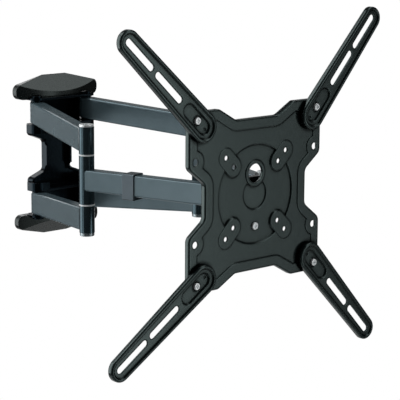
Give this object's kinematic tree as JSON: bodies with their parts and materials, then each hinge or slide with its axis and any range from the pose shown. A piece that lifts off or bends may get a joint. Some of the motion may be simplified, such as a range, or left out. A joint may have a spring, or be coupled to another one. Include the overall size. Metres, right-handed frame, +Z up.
{
  "type": "tilt and swivel tv wall mount",
  "caption": "Folding wall mount for a flat screen: waisted wall bracket, hinged tube arms, tilting pressed plate and slotted extension arms.",
  "frame": {"origin": "centre of the wall bracket's back face, on the wall", "axes": "+X to the right along the wall, +Z up, the screen faces -Y and +Y goes into the wall"},
  "size_m": [0.4467, 0.422, 0.4404],
  "materials": {
    "arm_paint": "satin blue-grey paint",
    "black_coat": "fine black powder coat",
    "cap_plastic": "grained dark grey plastic",
    "white_nylon": "smooth white nylon",
    "zinc": "bright zinc plate"
  },
  "bodies": {
    "wall": {"wall_bracket": "black_coat", "top_cap": "cap_plastic", "bottom_cap": "cap_plastic", "wall_pivot_bolts": "black_coat", "wall_pivot_nuts": "black_coat", "wall_pivot_washers": "cap_plastic"},
    "head": {"head_bracket": "black_coat", "head_pivot_bolts": "zinc", "head_pivot_nuts": "zinc", "head_pivot_washers": "white_nylon", "tilt_bolt": "zinc", "tilt_nut": "zinc", "tilt_friction_washers": "white_nylon"},
    "plate": {"screen_plate": "black_coat", "tilt_bracket": "black_coat", "plate_lock_screw": "zinc", "plate_lock_nut": "zinc", "arm_screws": "zinc", "arm_nuts": "zinc"},
    "rear_left": {"left_upper_rear_bar": "arm_paint", "left_lower_rear_bar": "arm_paint", "left_wall_sleeves": "zinc", "left_elbow_pin": "zinc", "left_elbow_nut": "zinc", "left_elbow_washers": "white_nylon"},
    "front_left": {"left_front_bar": "arm_paint", "left_head_sleeve": "zinc", "cable_clip": "cap_plastic"},
    "rear_right": {"right_upper_rear_bar": "arm_paint", "right_lower_rear_bar": "arm_paint", "right_wall_sleeves": "zinc", "right_elbow_pin": "zinc", "right_elbow_nut": "zinc", "right_elbow_washers": "white_nylon"},
    "front_right": {"right_front_bar": "arm_paint", "right_head_sleeve": "zinc"},
    "arm_upper_left": {"extension_arm_upper_left": "black_coat"},
    "arm_upper_right": {"extension_arm_upper_right": "black_coat"},
    "arm_lower_left": {"extension_arm_lower_left": "black_coat"},
    "arm_lower_right": {"extension_arm_lower_right": "black_coat"}
  },
  "joints": [
    {"name": "left_rear_fold", "type": "hinge", "parent": "wall", "child": "rear_left", "pos_m": [-0.0428, -0.019, 0], "axis": [0, 0, -1], "range_deg": [-11.6, 73.4]},
    {"name": "left_elbow", "type": "hinge", "parent": "rear_left", "child": "front_left", "pos_m": [-0.09691, -0.20051, 0], "axis": [0, 0, -1], "range_deg": [-146.8, 23.2]},
    {"name": "left_head_pivot", "type": "hinge", "parent": "front_left", "child": "head", "pos_m": [-0.0428, -0.38201, 0], "axis": [0, 0, -1], "range_deg": [-11.6, 73.4]},
    {"name": "right_rear_fold", "type": "hinge", "parent": "wall", "child": "rear_right", "pos_m": [0.0428, -0.019, 0], "axis": [0, 0, -1], "range_deg": [-73.4, 11.6]},
    {"name": "right_elbow", "type": "hinge", "parent": "rear_right", "child": "front_right", "pos_m": [0.09691, -0.20051, 0], "axis": [0, 0, -1], "range_deg": [-23.2, 146.8]},
    {"name": "plate_tilt", "type": "hinge", "parent": "head", "child": "plate", "pos_m": [0, -0.40031, 0], "axis": [1, 0, 0], "range_deg": [-5, 12]},
    {"name": "upper_left_arm_turn", "type": "hinge", "parent": "plate", "child": "arm_upper_left", "pos_m": [-0.1, -0.41501, 0.1], "axis": [0, -1, 0], "range_deg": [-47, 43]},
    {"name": "upper_right_arm_turn", "type": "hinge", "parent": "plate", "child": "arm_upper_right", "pos_m": [0.1, -0.41501, 0.1], "axis": [0, -1, 0], "range_deg": [-48.1, 41.9]},
    {"name": "lower_left_arm_turn", "type": "hinge", "parent": "plate", "child": "arm_lower_left", "pos_m": [-0.1, -0.41501, -0.1], "axis": [0, -1, 0], "range_deg": [-33.9, 56.1]},
    {"name": "lower_right_arm_turn", "type": "hinge", "parent": "plate", "child": "arm_lower_right", "pos_m": [0.1, -0.41501, -0.1], "axis": [0, -1, 0], "range_deg": [-43.3, 46.7]}
  ],
  "couplings": [
    {"joint": "left_elbow", "follows": "left_rear_fold", "ratio": -2},
    {"joint": "left_head_pivot", "follows": "left_rear_fold", "ratio": 1},
    {"joint": "right_rear_fold", "follows": "left_rear_fold", "ratio": -1},
    {"joint": "right_elbow", "follows": "left_rear_fold", "ratio": 2}
  ]
}
